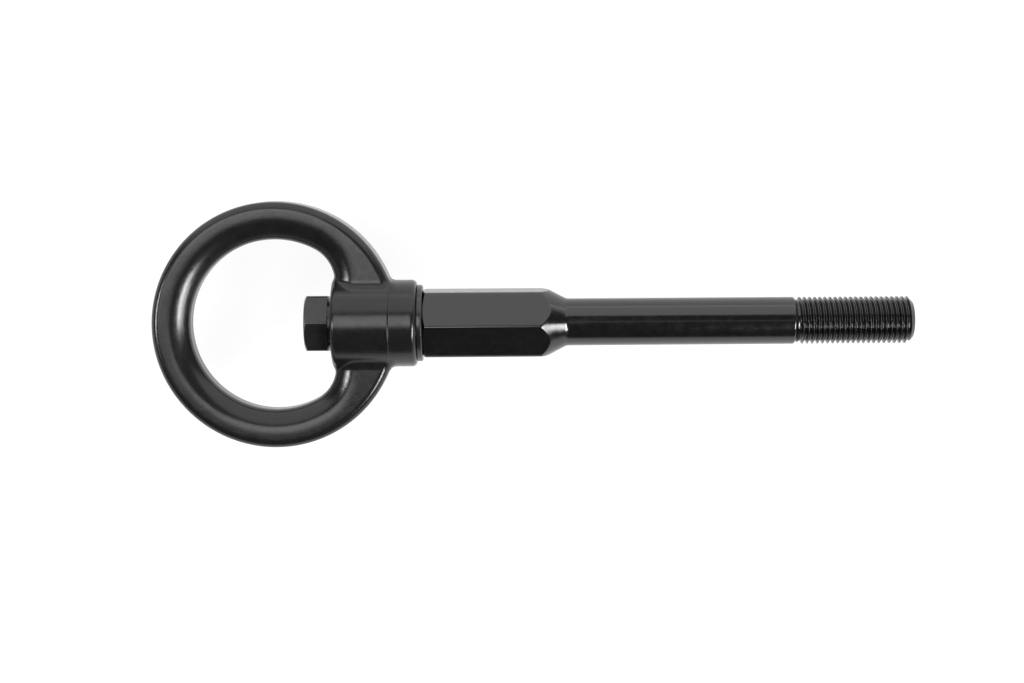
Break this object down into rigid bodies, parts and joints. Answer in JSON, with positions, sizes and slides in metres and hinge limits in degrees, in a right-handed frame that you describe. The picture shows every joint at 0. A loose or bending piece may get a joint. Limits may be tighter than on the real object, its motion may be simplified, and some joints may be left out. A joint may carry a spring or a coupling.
{
  "type": "tow eye",
  "caption": "Black swivelling tow eye: a round forged eye with a through-bored boss turns on a sleeve bolted to a hexagon bar with a threaded end.",
  "frame": {"origin": "on the bar's axis at the shoulder where the thread starts", "axes": "+X along the bar's axis towards the thread's tip, +Z along the axis of the eye's opening at rest, up as the part lies in the picture"},
  "size_m": [0.2216, 0.0716, 0.026],
  "materials": {
    "black_coated_forging": "satin black coating over steel",
    "black_bar_steel": "glossy black finish on turned steel",
    "black_bolt_steel": "black oxide",
    "bright_sleeve_steel": "ground",
    "black_washer_steel": "black oxide"
  },
  "bodies": {
    "bar_body": {"bar": "black_bar_steel", "clamp_bolt": "black_bolt_steel", "sleeve": "bright_sleeve_steel", "thrust_washer": "black_washer_steel"},
    "eye_body": {"eye": "black_coated_forging"}
  },
  "joints": [
    {"name": "eye_swivel", "type": "hinge", "parent": "bar_body", "child": "eye_body", "pos_m": [-0.1235, 0, 0], "axis": [1, 0, 0], "continuous": true}
  ]
}
